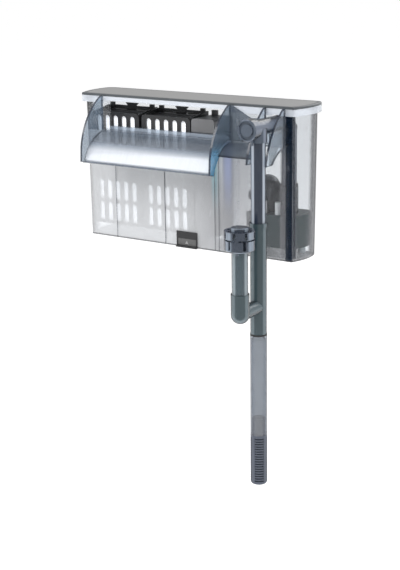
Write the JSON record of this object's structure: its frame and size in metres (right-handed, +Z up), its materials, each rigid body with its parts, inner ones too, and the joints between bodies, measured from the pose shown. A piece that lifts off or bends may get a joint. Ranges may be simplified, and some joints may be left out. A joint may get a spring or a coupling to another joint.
{
  "type": "hang on back aquarium filter",
  "caption": "Clear filter tank with hook-over outlet chute, lift-off lid, slotted cartridges, impeller pump and telescopic intake with a surface skimmer.",
  "frame": {"origin": "on the underside of the hook, in the middle of the flat strip that lies on the tank rim, halfway along the tub", "axes": "+X along the tank wall, to the right seen from inside the tank; +Y away from the tank; +Z up"},
  "size_m": [0.278, 0.1387, 0.3895],
  "materials": {
    "carbon_black": "bonded carbon",
    "cartridge_black": "black moulded plastic",
    "ceramic_media": "porous ceramic",
    "ceramic_shaft": "polished ceramic",
    "clear_shell": "clear moulded plastic",
    "copper_coil": "enamelled copper wire",
    "dark_smoke": "dark smoke clear plastic",
    "elbow_grey": "slate grey clear plastic",
    "floss_white": "white filter floss",
    "guide_silver": "pale clear plastic",
    "leveller_grey": "grey moulded plastic",
    "lid_brushed": "brushed",
    "lid_grey": "dark grey moulded rim",
    "magnet_dark": "coated ferrite magnet",
    "media_grey": "grey moulded plastic",
    "motor_teal": "teal potting resin",
    "rubber_black": "black rubber",
    "rubber_pale": "pale soft rubber",
    "smoke_blue": "smoke blue clear plastic",
    "steel_laminate": "laminated steel",
    "strainer_slate": "slate moulded plastic",
    "tee_teal": "teal grey clear plastic",
    "tube_navy": "navy clear plastic",
    "tube_pale": "pale grey clear plastic",
    "white_plastic": "white moulded plastic"
  },
  "bodies": {
    "filter_body": {"body_shell": "clear_shell", "spout_hook": "smoke_blue", "leveller_guide": "cartridge_black", "motor_housing": "motor_teal", "motor_feet": "rubber_pale", "stator_core": "steel_laminate", "stator_coil": "copper_coil", "rotor_shaft": "ceramic_shaft", "shaft_bushes": "rubber_black", "impeller_cover": "dark_smoke", "cover_seal": "rubber_black", "cover_posts": "white_plastic", "flow_guide": "guide_silver", "cable_gland": "rubber_black", "intake_elbow": "elbow_grey", "elbow_collar": "elbow_grey", "elbow_seal": "rubber_black", "upper_tube": "tube_navy"},
    "lid": {"lid_skirt": "clear_shell", "lid_frame": "lid_grey", "lid_inlay": "lid_brushed"},
    "cartridge_1": {"cartridge_1_basket": "cartridge_black", "cartridge_1_cover": "cartridge_black", "cartridge_1_floss": "floss_white", "cartridge_1_carbon": "carbon_black"},
    "cartridge_2": {"cartridge_2_basket": "cartridge_black", "cartridge_2_cover": "cartridge_black", "cartridge_2_floss": "floss_white", "cartridge_2_carbon": "carbon_black"},
    "media_holder": {"media_box": "clear_shell", "media_cover": "media_grey", "media_rings": "ceramic_media"},
    "flow_control": {"flow_knob": "elbow_grey", "flow_plug": "elbow_grey"},
    "leveller": {"leveller_slide": "leveller_grey"},
    "tee": {"intake_tee": "tee_teal"},
    "riser": {"skimmer_riser": "tube_pale"},
    "float_cup": {"skimmer_cup": "tube_navy", "skimmer_grate": "tube_navy"},
    "extension": {"coupling_ring": "rubber_black", "extension_tube": "tube_pale", "intake_strainer": "strainer_slate"},
    "rotor": {"rotor_magnet": "magnet_dark", "impeller": "white_plastic"}
  },
  "joints": [
    {"name": "lid_lift", "type": "slide", "parent": "filter_body", "child": "lid", "axis": [0, 0, 1], "range_m": [0, 0.2]},
    {"name": "cartridge_1_lift", "type": "slide", "parent": "filter_body", "child": "cartridge_1", "axis": [0, 0, 1], "range_m": [0, 0.13]},
    {"name": "cartridge_2_lift", "type": "slide", "parent": "filter_body", "child": "cartridge_2", "axis": [0, 0, 1], "range_m": [0, 0.11]},
    {"name": "media_lift", "type": "slide", "parent": "filter_body", "child": "media_holder", "axis": [0, 0, 1], "range_m": [0, 0.09]},
    {"name": "knob_turn", "type": "hinge", "parent": "filter_body", "child": "flow_control", "pos_m": [0.112, -0.0512, 0.0234], "axis": [0, -1, 0], "range_deg": [0, 90]},
    {"name": "leveller_push", "type": "slide", "parent": "filter_body", "child": "leveller", "axis": [0, -1, 0], "range_m": [0, 0.012]},
    {"name": "tee_slide", "type": "slide", "parent": "filter_body", "child": "tee", "axis": [0, 0, 1], "range_m": [-0.024, 0.018]},
    {"name": "riser_slide", "type": "slide", "parent": "tee", "child": "riser", "axis": [0, 0, 1], "range_m": [0, 0.012]},
    {"name": "float_slide", "type": "slide", "parent": "riser", "child": "float_cup", "axis": [0, 0, 1], "range_m": [0, 0.005]},
    {"name": "extension_slide", "type": "slide", "parent": "tee", "child": "extension", "axis": [0, 0, -1], "range_m": [0, 0.012]},
    {"name": "rotor_spin", "type": "hinge", "parent": "filter_body", "child": "rotor", "pos_m": [0.087, 0.0268, -0.07], "axis": [0, 0, 1], "continuous": true}
  ],
  "couplings": [
    {"joint": "cartridge_1_lift", "follows": "lid_lift", "ratio": 0.65},
    {"joint": "cartridge_2_lift", "follows": "lid_lift", "ratio": 0.55},
    {"joint": "media_lift", "follows": "lid_lift", "ratio": 0.45}
  ]
}
